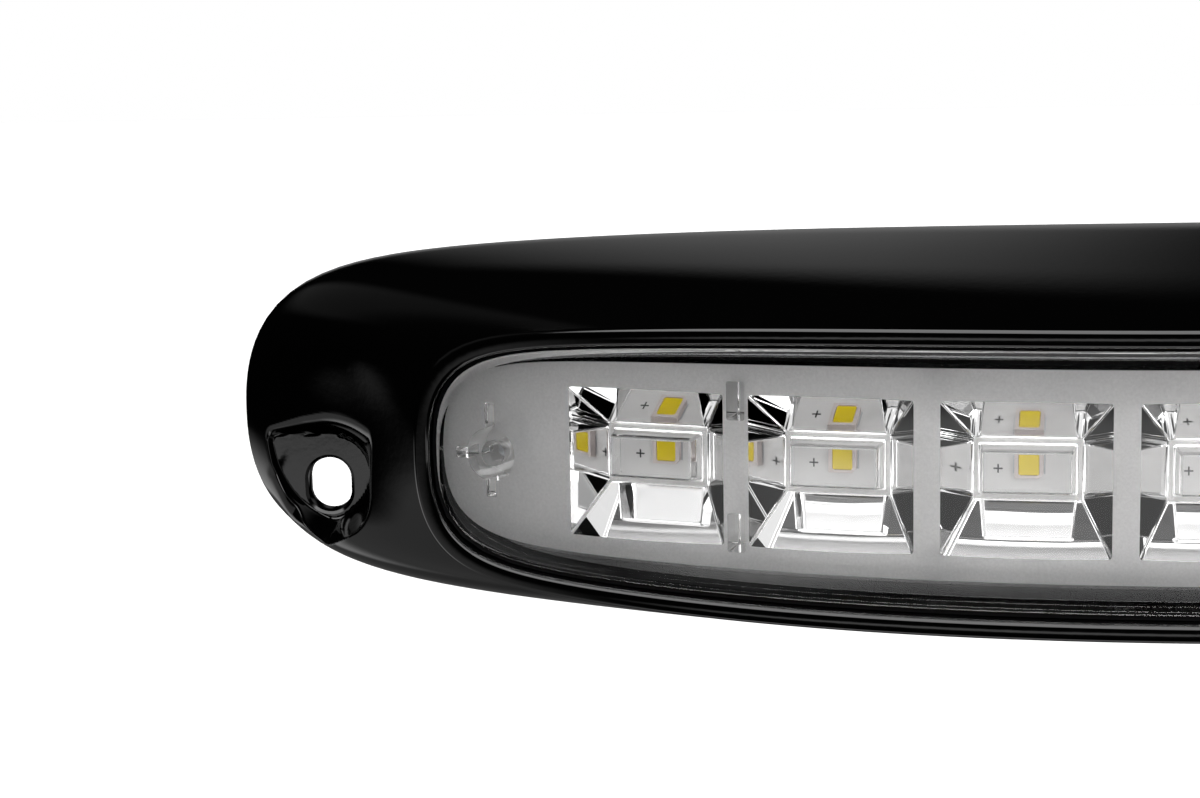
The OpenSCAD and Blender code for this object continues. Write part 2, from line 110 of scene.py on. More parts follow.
def shade(me, degrees):
    """Smooth faces, sharp along the edges that turn by more than the given angle."""
    me.polygons.foreach_set("use_smooth", [True] * len(me.polygons))
    me.set_sharp_from_angle(angle=math.radians(degrees))
    me.update()


def place(name, me, slot_name, *nodes):
    """A finished piece on the lamp's body, in place of the CAD nodes named."""
    o = bpy.data.objects.new(name, me)
    scene.collection.objects.link(o)
    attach(o, "root")
    if nodes:
        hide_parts(*nodes)


def flat(made, name):
    """The evaluated mesh of an object with modifiers; the object itself is removed."""
    bpy.context.view_layer.update()
    me = bpy.data.meshes.new_from_object(made.evaluated_get(bpy.context.evaluated_depsgraph_get()))
    me.name = name
    bpy.data.objects.remove(made)
    return me


def carve(me, cutter_me, operation, name):
    """me joined with, or cut by, a closed cutter mesh."""
    a = bpy.data.objects.new(name, me)
    b = bpy.data.objects.new(name + "_tool", cutter_me)
    for o in (a, b):
        scene.collection.objects.link(o)
    m = a.modifiers.new("cut", "BOOLEAN")
    m.operation, m.solver, m.object = operation, "EXACT", b
    out = flat(a, name)
    bpy.data.objects.remove(b)
    return out


def linear(hex_colour):
    """A linear colour from an sRGB hex value."""
    out = []
    for k in (0, 2, 4):
        c = int(hex_colour[k:k + 2], 16) / 255
        out.append(c / 12.92 if c <= 0.04045 else ((c + 0.055) / 1.055) ** 2.4)
    return (*out, 1.0)


def node(tree, kind, links=(), **settings):
    """Adds a node: settings are its properties, links pairs of an input and a value or an output."""
    n = tree.nodes.new(kind)
    for key, value in settings.items():
        setattr(n, key, value)
    for key, value in links:
        if isinstance(value, bpy.types.NodeSocket):
            tree.links.new(value, n.inputs[key])
        else:
            n.inputs[key].default_value = value
    return n


def material(name):
    """A new material and its empty tree."""
    m = bpy.data.materials.new(name)
    m.use_nodes = True
    m.node_tree.nodes.clear()
    return m, m.node_tree


def soft_min(a, b, k):
    """The lesser of two depths, rounded over where they differ by less than k."""
    w = np.maximum(0, k - np.abs(a - b)) / k
    return np.minimum(a, b) - w * w * k / 4


def soft_max(a, b, k):
    return -soft_min(-a, -b, k)


def wedge(px, pz):
    """Height of the pocket's wall above its floor, and the distance outside the floor's outline.

    The outline at a height is a round end with a level upper edge and a sloped lower one. Halving
    finds the height at which a point lies on it; the first pass is at the floor itself.
    """
    tallest, passes = 60.0, 34
    ex, ez = -math.cos(SLOPE), -math.sin(SLOPE)
    low, high = np.zeros_like(px), np.full_like(px, tallest)
    s = np.maximum(0, px * ex + pz * ez)
    d_low = np.hypot(px - s * ex, pz - s * ez)
    along = np.minimum(px, 0)
    for k in range(passes):
        h = (low + high) / 2 * min(k, 1)
        lift = h * (math.tan(LEAN) - math.tan(DRAFT))
        d_top = np.hypot(px - along, pz - lift)
        d_side = np.hypot(px, pz - np.clip(pz, 0, lift))
        inside = (px <= 0) & (pz <= lift) & (px * -ez + pz * ex <= 0)
        d = np.where(inside, 0, np.minimum(np.minimum(d_top, d_side), d_low))
        if k == 0:
            outside = d - HEAD_R
            continue
        over = d > HEAD_R + h * math.tan(DRAFT)
        low, high = np.where(over, h, low), np.where(over, high, h)
    return (low + high) / 2, outside


def ear_depth(x, z, have):
    """Depth of the skin where an ear's pocket is pressed in, for the ear at the -X end."""
    wall, outside = wedge(x + EAR_X, z - HEAD_Z)
    rim = np.stack(oval(FOOTPRINT, np.linspace(math.radians(150), math.radians(250), 400)), -1)
    inset = np.array([np.hypot(rim[:, 0] - a, rim[:, 1] - b).min() for a, b in zip(x, z)])
    roll = EAR_DROP * (1 - np.sqrt(1 - (1 - np.minimum(inset, EAR_ROUND) / EAR_ROUND) ** 2))
    near = np.clip((outside + HEAD_R) / HEAD_R, 0, 1)
    swell = RIM_SWELL * near * near * (3 - 2 * near) + RIM_RUNOUT * np.maximum(0, outside)
    crest = EAR_T + EAR_RIM - roll + swell + FLANK_RUNOUT * np.maximum(0, inset - EAR_ROUND - 1)
    fence = soft_max(outside, EAR_ROUND - inset, FENCE_BLEND) / FENCE_SLOPE
    pocket = EAR_T + soft_max(soft_max(wall, 0 * wall, FLOOR_BLEND), fence, CORNER_BLEND)
    shoulder = SHOULDER_LOW + SHOULDER_RISE * np.clip((z + SHOULDER_Z) / SHOULDER_Z, 0, 1)
    return soft_min(soft_min(crest, pocket, CREST_BLEND), have, np.minimum(shoulder, 0.5 * have))


def skin_point(t, v):
    """A point of the flank, a curve with one bend: v is 0 at the foot and 1 at the lip."""
    fx, fz = oval(FOOTPRINT, t)
    cx, cz = oval(grown(WINDOW, LENS_GAP + LIP_W), t)
    crest = -LIP_ROUND - arc_y(cx, LIP_R)
    at_end = np.abs(np.cos(t)) ** END_POWER
    tuck = TUCK + END_TUCK * at_end
    kx, kz = fx + (cx - fx) * tuck, fz + (cz - fz) * tuck
    kd = FLANK_START + (crest - FLANK_START) * (CROWN - END_CROWN * at_end)
    a, b, c = (1 - v) ** 2, 2 * v * (1 - v), v * v
    return fx * a + kx * b + cx * c, FLANK_START * a + kd * b + crest * c, fz * a + kz * b + cz * c


def flank(t, v):
    """The flank with the two ear pockets pressed in; edges are rounded as the casting's are."""
    x, depth, z = skin_point(t, v)
    for side in (1, -1):
        near = (x * side < -EAR_REACH_X) & (z < EAR_REACH_Z) & (depth > EAR_REACH_DEPTH)
        depth[near] = ear_depth(x[near] * side, z[near], depth[near])
    return np.stack([x, -depth, z], -1)


def spread(values, lengths, count, soften):
    """Per row of a grid: new parameters at equal steps of the given lengths, softened across rows."""
    share = np.cumsum(lengths, 1)
    share = np.concatenate([np.zeros((len(share), 1)), share / share[:, -1:]], 1)
    goal = np.linspace(0, 1, count)
    out = np.stack([np.interp(goal, share[i], values[i]) for i in range(len(share))])
    kernel = np.exp(-np.linspace(-2, 2, 2 * soften + 1) ** 2)
    kernel /= kernel.sum()
    padded = np.concatenate([out[-soften:], out, out[:soften]])
    return sum(k * padded[i:i + len(out)] for i, k in enumerate(kernel))


def outline_steps():
    """Angles round the footprint: small steps at the ears, and larger ones elsewhere."""
    ear_step, long_step, ear_from_x, ear_to_z, blend = 0.25, 2.2, 97, 9, 800
    t = np.radians(np.linspace(-90, 270, 40001))
    x, z = oval(FOOTPRINT, t)
    length = np.hypot(np.diff(x), np.diff(z))
    ear = (np.abs(x) > ear_from_x) & (z < ear_to_z)
    pace = np.where(ear, ear_step, long_step)
    window = 2 * blend + 1
    pace = np.convolve(np.pad(pace, blend, mode="wrap"), np.ones(window) / window, "valid")
    share = np.concatenate([[0], np.cumsum(length / pace[1:])])
    count = int(round(share[-1]))
    return np.interp(np.arange(count) * share[-1] / count, share, t)


def housing_mesh():
    """Rows round the lamp: foot, flank, lip, ledge, chamber and the seats for carrier and cover."""
    trial, flank_rows, bend_weight, sharpest, soften = 480, 118, 1.6, 0.5, 4
    t = outline_steps()
    tt = np.repeat(t[:, None], trial, 1)
    vv = np.repeat(np.linspace(0, 1, trial)[None, :], len(t), 0)
    step = np.diff(flank(tt, vv), axis=1)
    length = np.linalg.norm(step, axis=2)
    way = step / np.maximum(length, 1e-9)[:, :, None]
    turn = np.linalg.norm(np.diff(way, axis=1, prepend=way[:, :1]), axis=2)
    v = spread(vv, length + bend_weight * np.minimum(turn, sharpest), flank_rows, soften)
    p = flank(np.repeat(t[:, None], flank_rows, 1), v)
    rows = [flat_row(grown(FOOTPRINT, -FOOT_ROUND * (1 - math.sin(a))), t, FOOT_ROUND * (1 - math.cos(a)))
            for a in np.radians((0, 22, 45, 68, 90))]
    rows += [p[:, k] for k in range(flank_rows)]
    for a in np.radians((20, 40, 60, 80, 90)):
        rows.append(arc_row(grown(WINDOW, LENS_GAP + LIP_W - LIP_ROUND * (1 - math.cos(a))), t,
                            LIP_R - LIP_ROUND * (1 - math.sin(a))))
    for a in np.radians((90, 70, 45, 20, 0)):
        rows.append(arc_row(grown(WINDOW, LENS_GAP + LIP_ROUND * (1 - math.cos(a))), t,
                            LIP_R - LIP_ROUND * (1 - math.sin(a))))
    seat_r = LIP_R - LENS_SINK - PLATE_T - SEAL_T
    carrier_r = CARRIER_R + CARRIER_GAP
    rows += [arc_row(grown(WINDOW, LENS_GAP), t, seat_r), arc_row(FROST, t, seat_r),
             arc_row(FROST, t, seat_r - LEDGE_T), arc_row(CHAMBER, t, seat_r - CHAMBER_DROP),
             arc_row(CHAMBER, t, carrier_r), arc_row(SEAT, t, carrier_r),
             flat_row(COVER_HOLE, t, COVER_T), flat_row(COVER_RIM, t, COVER_T), flat_row(COVER_RIM, t, 0)]
    n, c = len(rows), len(t)
    i = np.arange(c)
    j = (i + 1) % c
    faces = []
    for k in range(n):
        a, b = k * c, ((k + 1) % n) * c
        faces += list(zip(a + i, b + i, b + j, a + j))
    return to_mesh("housing_skin", np.concatenate(rows), faces)


def slot_cutter(x):
    """A long hole with a rounded mouth at the ear's floor and a wider mouth at the back."""
    r, half = SLOT_W / 2, (SLOT_H - SLOT_W) / 2
    mouth, back_mouth, clear_of = 0.45, 0.5, 1
    a = np.radians(np.arange(0, 360, 7.5))
    ring = [(math.cos(v), math.sin(v), half if math.sin(v) >= 0 else -half) for v in a]
    rows = [(r + back_mouth, -clear_of), (r + back_mouth, 0), (r, mouth), (r, EAR_T - 0.4),
            (r + 0.12, EAR_T - 0.12), (r + mouth, EAR_T + 0.05), (r + mouth, EAR_T + clear_of)]
    verts = []
    for rr, depth in rows:
        verts += [(x + rr * cs, -depth, SLOT_Z + rr * sn + h) for cs, sn, h in ring]
    n = len(ring)
    faces = [(k * n + i, k * n + (i + 1) % n, (k + 1) * n + (i + 1) % n, (k + 1) * n + i)
             for k in range(len(rows) - 1) for i in range(n)]
    faces += [tuple(range(n))[::-1], tuple(range((len(rows) - 1) * n, len(rows) * n))]
    return to_mesh("slot_tool", verts, faces)


def outward(me):
    """The mesh with its faces turned outwards."""
    bm = bmesh.new()
    bm.from_mesh(me)
    bmesh.ops.recalc_face_normals(bm, faces=bm.faces)
    bm.to_mesh(me)
    bm.free()
    return me


skin = outward(housing_mesh())
for end in (-1, 1):
    skin = carve(skin, outward(slot_cutter(end * EAR_X)), "DIFFERENCE", "housing_skin")
shade(skin, degrees=30)
place("housing_shell", skin, "housing_paint", "housing")

# Gloss black wet paint, sprayed: it mirrors the studio, stays black elsewhere, and its orange
# peel, 0.9 dimples to a millimetre, breaks up the mirror a little
PEEL_PER_MM, PEEL_DEPTH = 0.9, 0.04
paint, tree = material("gloss_black_paint_on_cast_aluminium")
where = node(tree, "ShaderNodeTexCoord").outputs["Object"]
peel = node(tree, "ShaderNodeTexNoise", [("Vector", where), ("Scale", PEEL_PER_MM / mm), ("Detail", 2)])
bump = node(tree, "ShaderNodeBump", [
    ("Height", peel.outputs["Fac"]), ("Strength", 0.10), ("Distance", PEEL_DEPTH * mm)])
coat = node(tree, "ShaderNodeBsdfPrincipled", [
    ("Base Color", linear("020202")), ("Roughness", 0.07), ("IOR", 1.5), ("Normal", bump.outputs["Normal"])])
node(tree, "ShaderNodeOutputMaterial", [("Surface", coat.outputs["BSDF"])])
skin.materials.append(paint)

# Lens. One clear polycarbonate moulding: a bowed plate with a polished border, a frosted field
# behind, and eight hollow pyramids that stand over the LEDs. Ribbed bosses at its ends and
# flat legs between the outer optics keep it off the board.
LENS_R = LIP_R - LENS_SINK
PLATE_R = LENS_R - PLATE_T
BOARD_R, EDGE_R = 203.31, 0.8
LED_COUNT, PITCH, LED_LIFT = 8, 20.8, 0.5
# Each optic: its depth, its mouth at the plate, its foot over the LED, its wall, and its hollow
OPTIC_DEPTH, MOUTH_W, MOUTH_H, FOOT_W, FOOT_H, OPTIC_WALL = 6.75, 17.9, 16.7, 11.2, 6.4, 0.55
HOLLOW_DEPTH, HOLLOW_TAPER, OPTIC_FILLET = 4.4, 0.4, 0.34
# What stands on the plate runs into it by ROOT, and stays clear of the board
ROOT, BOARD_CLEARANCE = 0.5, 0.1
REACH = PLATE_R - BOARD_R - BOARD_CLEARANCE
LEG_HALF_W, LEG_HALF_H, LEG_ROUND, LEG_AT, LEG_ROWS = 1, 2.1, 0.2, 3 * PITCH, (7.55, -6.85)
BOSS_AT, BOSS_R, BOSS_HOLE_R, BOSS_FLOOR = 91.7, 3.0, 1.45, 1
# A rib's foot is a share of the reach away from the board; it runs from inside the boss outwards
RIB_HALF_W, RIB_ROUND, RIB_FOOT = 0.6, 0.15, 0.4
RIB_FROM, RIB_UP, RIB_DOWN, RIB_OUT = 2.0, 5.8, 4.8, 4.4


def on_arc(s, r):
    """Turns a piece built at the origin, facing -Y, to a station along the lens."""
    turned = Matrix.Rotation(s / LENS_R, 4, "Z")
    return Matrix.Translation((0, AXIS_Y * mm, 0)) @ turned @ Matrix.Translation((0, -r * mm, 0))


def plate_mesh():
    """A bowed plate: its front edge is rounded over by EDGE_R, its rear edge is square."""
    t = np.unique(np.concatenate([np.radians(np.arange(0, 12, 0.75)), np.radians(np.arange(12, 168, 0.5)),
                                  np.radians(np.arange(168, 180.1, 0.75))]))
    turn = np.radians(np.arange(0, 91, 11.25))
    profile = [(EDGE_R * (1 - math.sin(a)), LENS_R - EDGE_R * (1 - math.cos(a))) for a in turn]
    profile.append((0.0, PLATE_R))
    rows = []
    for half, order in ((1, profile[::-1]), (-1, profile)):
        for inset, r in order:
            x, z = oval(grown(WINDOW, -inset), t)
            rows.append(np.stack([x, arc_y(x, r), half * z], -1))
    n, count = len(t), len(rows)
    faces = []
    for k in range(count):
        a, b = k * n, ((k + 1) % count) * n
        faces += [(a + i, a + i + 1, b + i + 1, b + i) for i in range(n - 1)]
    me = to_mesh("plate", np.concatenate(rows), faces)
    bm = bmesh.new()
    bm.from_mesh(me)
    bmesh.ops.remove_doubles(bm, verts=bm.verts, dist=1e-6)
    bmesh.ops.dissolve_degenerate(bm, edges=bm.edges, dist=1e-6)
    bmesh.ops.recalc_face_normals(bm, faces=bm.faces)
    bm.to_mesh(me)
    bm.free()
    return me


def optic_mesh():
    """A truncated pyramid, its foot at the origin and LED_LIFT above its mouth's middle, with a hollow."""
    k = (OPTIC_DEPTH + ROOT) / OPTIC_DEPTH
    half_mouth = FOOT_W / 2 + (MOUTH_W - FOOT_W) / 2 * k
    up, down = (MOUTH_H - FOOT_H) / 2 - LED_LIFT, (MOUTH_H - FOOT_H) / 2 + LED_LIFT
    half_w, half_h, inner = FOOT_W / 2, FOOT_H / 2, OPTIC_WALL + HOLLOW_TAPER

    def ring(half, low, high, depth):
        return [(-half, -depth, low), (half, -depth, low), (half, -depth, high), (-half, -depth, high)]
    verts = ring(half_mouth, -half_h - down * k, half_h + up * k, OPTIC_DEPTH + ROOT)
    verts += ring(half_w, -half_h, half_h, 0)
    verts += ring(half_w - OPTIC_WALL, -half_h + OPTIC_WALL, half_h - OPTIC_WALL, 0)
    verts += ring(half_w - inner, -half_h + inner, half_h - inner, HOLLOW_DEPTH)
    faces = [(0, 1, 2, 3), (12, 13, 14, 15)]
    for a in (0, 4, 8):
        faces += [(a + i, a + (i + 1) % 4, a + 4 + (i + 1) % 4, a + 4 + i) for i in range(4)]
    o = bpy.data.objects.new("optic", outward(to_mesh("optic", verts, faces)))
    scene.collection.objects.link(o)
    m = o.modifiers.new("edge", "BEVEL")
    m.width, m.segments, m.limit_method, m.angle_limit = OPTIC_FILLET * mm, 5, "ANGLE", math.radians(25)
    return flat(o, "optic")


def tube_mesh(name, outer, inner, length, hole_depth):
    """A round boss with a blind hole, standing at the origin towards -Y."""
    n = 40
    a = np.radians(np.arange(0, 360, 360 / n))
    rows = [(inner, 0), (outer, 0), (outer, length), (inner, hole_depth)]
    verts = [(r * math.cos(v), -d, r * math.sin(v)) for r, d in rows for v in a]
    faces = [(k * n + i, k * n + (i + 1) % n, (k + 1) * n + (i + 1) % n, (k + 1) * n + i)
             for k in range(2) for i in range(n)]
    faces += [(i, (i + 1) % n, 3 * n + (i + 1) % n, 3 * n + i) for i in range(n)]
    faces += [tuple(range(2 * n, 3 * n)), tuple(range(3 * n, 4 * n))]
    return outward(to_mesh(name, verts, faces))


def bar_mesh(name, x0, x1, d0, d1, z0, z1, bevel=0.0):
    """A block between two places along, two depths and two heights."""
    verts = [(x, -d, z) for z in (z0, z1) for d in (d0, d1) for x in (x0, x1)]
    faces = [(0, 1, 3, 2), (4, 6, 7, 5), (0, 4, 5, 1), (2, 3, 7, 6), (0, 2, 6, 4), (1, 5, 7, 3)]
    me = outward(to_mesh(name, verts, faces))
    if bevel:
        bm = bmesh.new()
        bm.from_mesh(me)
        bmesh.ops.bevel(bm, geom=list(bm.edges), offset=bevel * mm, segments=2, profile=0.5, affect="EDGES")
        bm.to_mesh(me)
        bm.free()
    return me


def moved(me, matrix):
    """A moved copy of a mesh, still facing outwards when the move mirrors it."""
    out = me.copy()
    out.transform(matrix)
    if matrix.determinant() < 0:
        out.flip_normals()
    return out


def joined(name, meshes):
    bm = bmesh.new()
    for me in meshes:
        bm.from_mesh(me)
    out = bpy.data.meshes.new(name)
    bm.to_mesh(out)
    bm.free()
    return out


def row_along_bow(single, name, radius, finish):
    """Geometry Nodes: one of the piece at each LED station, turned to face out of the bow."""
    tree = bpy.data.node_groups.new(name + "_row", "GeometryNodeTree")
    sizes = {"Count": LED_COUNT, "Pitch": PITCH * mm, "Bow Radius": LENS_R * mm,
             "Row Radius": radius * mm, "Axis": AXIS_Y * mm, "Lift": LED_LIFT * mm}
    tree.interface.new_socket("Geometry", in_out="INPUT", socket_type="NodeSocketGeometry")
    sockets = {}
    for label in sizes:
        kind = "NodeSocketInt" if label == "Count" else "NodeSocketFloat"
        sockets[label] = tree.interface.new_socket(label, in_out="INPUT", socket_type=kind).identifier
    tree.interface.new_socket("Geometry", in_out="OUTPUT", socket_type="NodeSocketGeometry")
    given = node(tree, "NodeGroupInput").outputs
    # The stations lie evenly on a straight line first, half a pitch to each side of the middle
    first = node(tree, "ShaderNodeMath", [
        (0, given["Count"]), (1, -0.5), (2, 0.5)], operation="MULTIPLY_ADD")
    start = node(tree, "ShaderNodeMath", [(0, first.outputs[0]), (1, given["Pitch"])], operation="MULTIPLY")
    line = node(tree, "GeometryNodeMeshLine", [
        ("Count", given["Count"]),
        ("Start Location", node(tree, "ShaderNodeCombineXYZ", [("X", start.outputs[0])]).outputs[0]),
        ("Offset", node(tree, "ShaderNodeCombineXYZ", [("X", given["Pitch"])]).outputs[0])])
    at = node(tree, "ShaderNodeSeparateXYZ", [(0, node(tree, "GeometryNodeInputPosition").outputs[0])])
    # Each turns by its distance along the bow, then moves onto the bow at its own radius
    turn = node(tree, "ShaderNodeMath", [(0, at.outputs["X"]), (1, given["Bow Radius"])], operation="DIVIDE")
    row = node(tree, "GeometryNodeInstanceOnPoints", [
        ("Points", line.outputs[0]), ("Instance", given["Geometry"]),
        ("Rotation", node(tree, "ShaderNodeCombineXYZ", [("Z", turn.outputs[0])]).outputs[0])])
    out = node(tree, "ShaderNodeMath", [(0, turn.outputs[0])], operation="COSINE")
    along = node(tree, "ShaderNodeMath", [(0, turn.outputs[0])], operation="SINE")
    x = node(tree, "ShaderNodeMath", [(0, along.outputs[0]), (1, given["Row Radius"])], operation="MULTIPLY")
    reach = node(tree, "ShaderNodeMath", [
        (0, out.outputs[0]), (1, given["Row Radius"])], operation="MULTIPLY")
    y = node(tree, "ShaderNodeMath", [(0, given["Axis"]), (1, reach.outputs[0])], operation="SUBTRACT")
    spot = node(tree, "ShaderNodeCombineXYZ", [
        ("X", x.outputs[0]), ("Y", y.outputs[0]), ("Z", given["Lift"])])
    bowed = node(tree, "GeometryNodeSetPosition", [
        ("Geometry", row.outputs[0]), ("Position", spot.outputs[0])])
    solid = node(tree, "GeometryNodeRealizeInstances", [("Geometry", bowed.outputs[0])])
    done = node(tree, "GeometryNodeSetMaterial", [("Geometry", solid.outputs[0]), ("Material", finish)])
    node(tree, "NodeGroupOutput", [("Geometry", done.outputs[0])])
    o = bpy.data.objects.new(name, single)
    scene.collection.objects.link(o)
    m = o.modifiers.new("row", "NODES")
    m.node_group = tree
    for label, value in sizes.items():
        m[sockets[label]] = value
    return flat(o, name)


# Clear polycarbonate, polished in the mould: glassy and colourless, with a high index and a
# faint waviness about 8 mm long, which bends what is seen through it a little
POLYCARBONATE_IOR, WAVES_PER_MM, WAVE_DEPTH = 1.585, 0.12, 0.2
clear, tree = material("clear_polycarbonate")
where = node(tree, "ShaderNodeTexCoord").outputs["Object"]
flow = node(tree, "ShaderNodeTexNoise", [("Vector", where), ("Scale", WAVES_PER_MM / mm), ("Detail", 1)])
bump = node(tree, "ShaderNodeBump", [
    ("Height", flow.outputs["Fac"]), ("Strength", 0.04), ("Distance", WAVE_DEPTH * mm)])
glassy = node(tree, "ShaderNodeBsdfPrincipled", [
    ("Base Color", linear("FEFEFE")), ("Roughness", 0.0), ("IOR", POLYCARBONATE_IOR),
    ("Transmission Weight", 1.0), ("Normal", bump.outputs["Normal"])])
node(tree, "ShaderNodeOutputMaterial", [("Surface", glassy.outputs["BSDF"])])

stands = [row_along_bow(optic_mesh(), "optics", PLATE_R - OPTIC_DEPTH, clear)]
leg = bar_mesh("leg", -LEG_HALF_W, LEG_HALF_W, 0, REACH + ROOT, -LEG_HALF_H, LEG_HALF_H, LEG_ROUND)
for s in (-LEG_AT, LEG_AT):
    for z in LEG_ROWS:
        stand_at = on_arc(s, BOARD_R + BOARD_CLEARANCE) @ Matrix.Translation((0, 0, z * mm))
        stands.append(moved(leg, stand_at))
lens_mesh = carve(plate_mesh(), joined("stands", stands), "UNION", "lens_moulding")
boss = tube_mesh("boss", BOSS_R, BOSS_HOLE_R, REACH + ROOT, REACH - BOSS_FLOOR)
# Three ribs run out from each boss: upwards, downwards and towards the lamp's end
ribs = [bar_mesh("rib", x0, x1, REACH * RIB_FOOT, REACH + ROOT, z0, z1, RIB_ROUND)
        for x0, x1, z0, z1 in ((-RIB_HALF_W, RIB_HALF_W, RIB_FROM, RIB_UP),
                               (-RIB_HALF_W, RIB_HALF_W, -RIB_DOWN, -RIB_FROM),
                               (-RIB_OUT, -RIB_FROM, -RIB_HALF_W, RIB_HALF_W))]
for end in (1, -1):
    boss_at = Matrix.Scale(end, 4, (1, 0, 0)) @ on_arc(-BOSS_AT, BOARD_R + BOARD_CLEARANCE)
    for part in (boss, *ribs):
        lens_mesh = carve(lens_mesh, moved(part, boss_at), "UNION", "lens_moulding")
shade(lens_mesh, degrees=19)
faceted = bpy.data.objects.new("lens_moulding", lens_mesh)
scene.collection.objects.link(faceted)
m = faceted.modifiers.new("flat_facets", "WEIGHTED_NORMAL")
m.mode, m.weight, m.keep_sharp = "FACE_AREA", 100, True
lens_mesh = flat(faceted, "lens_moulding")
place("lens_moulding", lens_mesh, "lens_clear", "lens")

# Spark-eroded frosting on the plate's rear face: it scatters what lies behind it into an even
# pale grey. The border outside FROST stays polished. The grain is drawn coarser than the real
# one, so that it shows
FROST_PER_MM, SPARKS_PER_MM, FROST_RELIEF, MILKINESS = 2.6, 3.6, 0.03, 0.30
frosted, tree = material("frosted_polycarbonate")
where = node(tree, "ShaderNodeTexCoord").outputs["Object"]
xyz = node(tree, "ShaderNodeSeparateXYZ", [(0, where)])
across = xyz.outputs["X"]
for operation, by in (("DIVIDE", FROST.half_length * mm), ("ABSOLUTE", 0.0), ("MINIMUM", 1.0)):
    across = node(tree, "ShaderNodeMath", [(0, across), (1, by)], operation=operation).outputs[0]
arch, bow = across, across
for operation, by in (("POWER", FROST.end_power), ("MULTIPLY", -1.0), ("ADD", 1.0),
                      ("POWER", 1 / FROST.shoulder_power)):
    arch = node(tree, "ShaderNodeMath", [(0, arch), (1, by)], operation=operation).outputs[0]
for operation, by in (("POWER", 4.0), ("MULTIPLY", -FROST.taper), ("ADD", 1.0),
                      ("MULTIPLY", FROST.half_height * mm)):
    bow = node(tree, "ShaderNodeMath", [(0, bow), (1, by)], operation=operation).outputs[0]
half = node(tree, "ShaderNodeMath", [(0, arch), (1, bow)], operation="MULTIPLY")
mask = xyz.outputs["Z"]
for operation, by in (("SUBTRACT", FROST.middle * mm), ("ABSOLUTE", 0.0), ("LESS_THAN", half.outputs[0])):
    mask = node(tree, "ShaderNodeMath", [(0, mask), (1, by)], operation=operation).outputs[0]
grain = node(tree, "ShaderNodeTexNoise", [("Vector", where), ("Scale", FROST_PER_MM / mm), ("Detail", 1)])
bump = node(tree, "ShaderNodeBump", [
    ("Height", grain.outputs["Fac"]), ("Strength", 0.25), ("Distance", FROST_RELIEF * mm)])
rough = node(tree, "ShaderNodeBsdfPrincipled", [
    ("Base Color", linear("F8F7F7")), ("Roughness", 0.55), ("IOR", POLYCARBONATE_IOR),
    ("Transmission Weight", 1.0), ("Normal", bump.outputs["Normal"])])
plain = node(tree, "ShaderNodeBsdfPrincipled", [
    ("Base Color", linear("FEFEFE")), ("Roughness", 0.0), ("IOR", POLYCARBONATE_IOR),
    ("Transmission Weight", 1.0)])
spark = node(tree, "ShaderNodeTexNoise", [("Vector", where), ("Scale", SPARKS_PER_MM / mm), ("Detail", 1)])
speckle = node(tree, "ShaderNodeMix", [
    ("Factor", spark.outputs["Fac"]), (6, linear("B4B3B2")), (7, linear("FFFFFF"))], data_type="RGBA")
etched = node(tree, "ShaderNodeBsdfDiffuse", [("Color", speckle.outputs[2])])
milky = node(tree, "ShaderNodeMixShader", [
    (0, MILKINESS), (1, rough.outputs["BSDF"]), (2, etched.outputs[0])])
masked = node(tree, "ShaderNodeMixShader", [(0, mask), (1, plain.outputs["BSDF"]), (2, milky.outputs[0])])
node(tree, "ShaderNodeOutputMaterial", [("Surface", masked.outputs[0])])
lens_mesh.materials.clear()
lens_mesh.materials.append(clear)
lens_mesh.materials.append(frosted)
for face in lens_mesh.polygons:
    middle = face.center / mm
    from_axis = math.hypot(middle.x, middle.y - AXIS_Y)
    on_rear = abs(from_axis - PLATE_R) < 0.05 and face.normal.y > 0.8
    face.material_index = 1 if on_rear else 0

# Lens seal. A ring of moulded black silicone, pressed between the lens and the ledge, that
# fills the gap at the lip.
nodes = frame["nodes"]


def grained(name, dark, pale, roughness, grain, relief, metallic=0.0, ior=1.5):
    """A finish that varies between two colours over grains of a size in mm, with a relief in mm."""
    m, tree = material(name)
    where = node(tree, "ShaderNodeTexCoord").outputs["Object"]
    grains = node(tree, "ShaderNodeTexNoise", [("Vector", where), ("Scale", 1 / (grain * mm)), ("Detail", 3)])
    colour = node(tree, "ShaderNodeMix", [
        ("Factor", grains.outputs["Fac"]), (6, linear(dark)), (7, linear(pale))], data_type="RGBA")
    bump = node(tree, "ShaderNodeBump", [
        ("Height", grains.outputs["Fac"]), ("Strength", 0.3), ("Distance", relief * mm)])
    surface = node(tree, "ShaderNodeBsdfPrincipled", [
        ("Base Color", colour.outputs[2]), ("Roughness", roughness), ("Metallic", metallic), ("IOR", ior),
        ("Normal", bump.outputs["Normal"])])
    node(tree, "ShaderNodeOutputMaterial", [("Surface", surface.outputs["BSDF"])])
    return m


def dress(name, finish):
    """Gives a CAD node its finish."""
    nodes[name].data.materials.clear()
    nodes[name].data.materials.append(finish)


# Moulded silicone rubber: near black, dull and almost without a highlight. Its index is set lower
# than the real 1.4, so that the ring stays dark
rubber = grained("black_silicone_rubber", "080809", "0C0C0D", 0.85, 0.1, 0.01, ior=1.2)
dress("lens_seal", rubber)

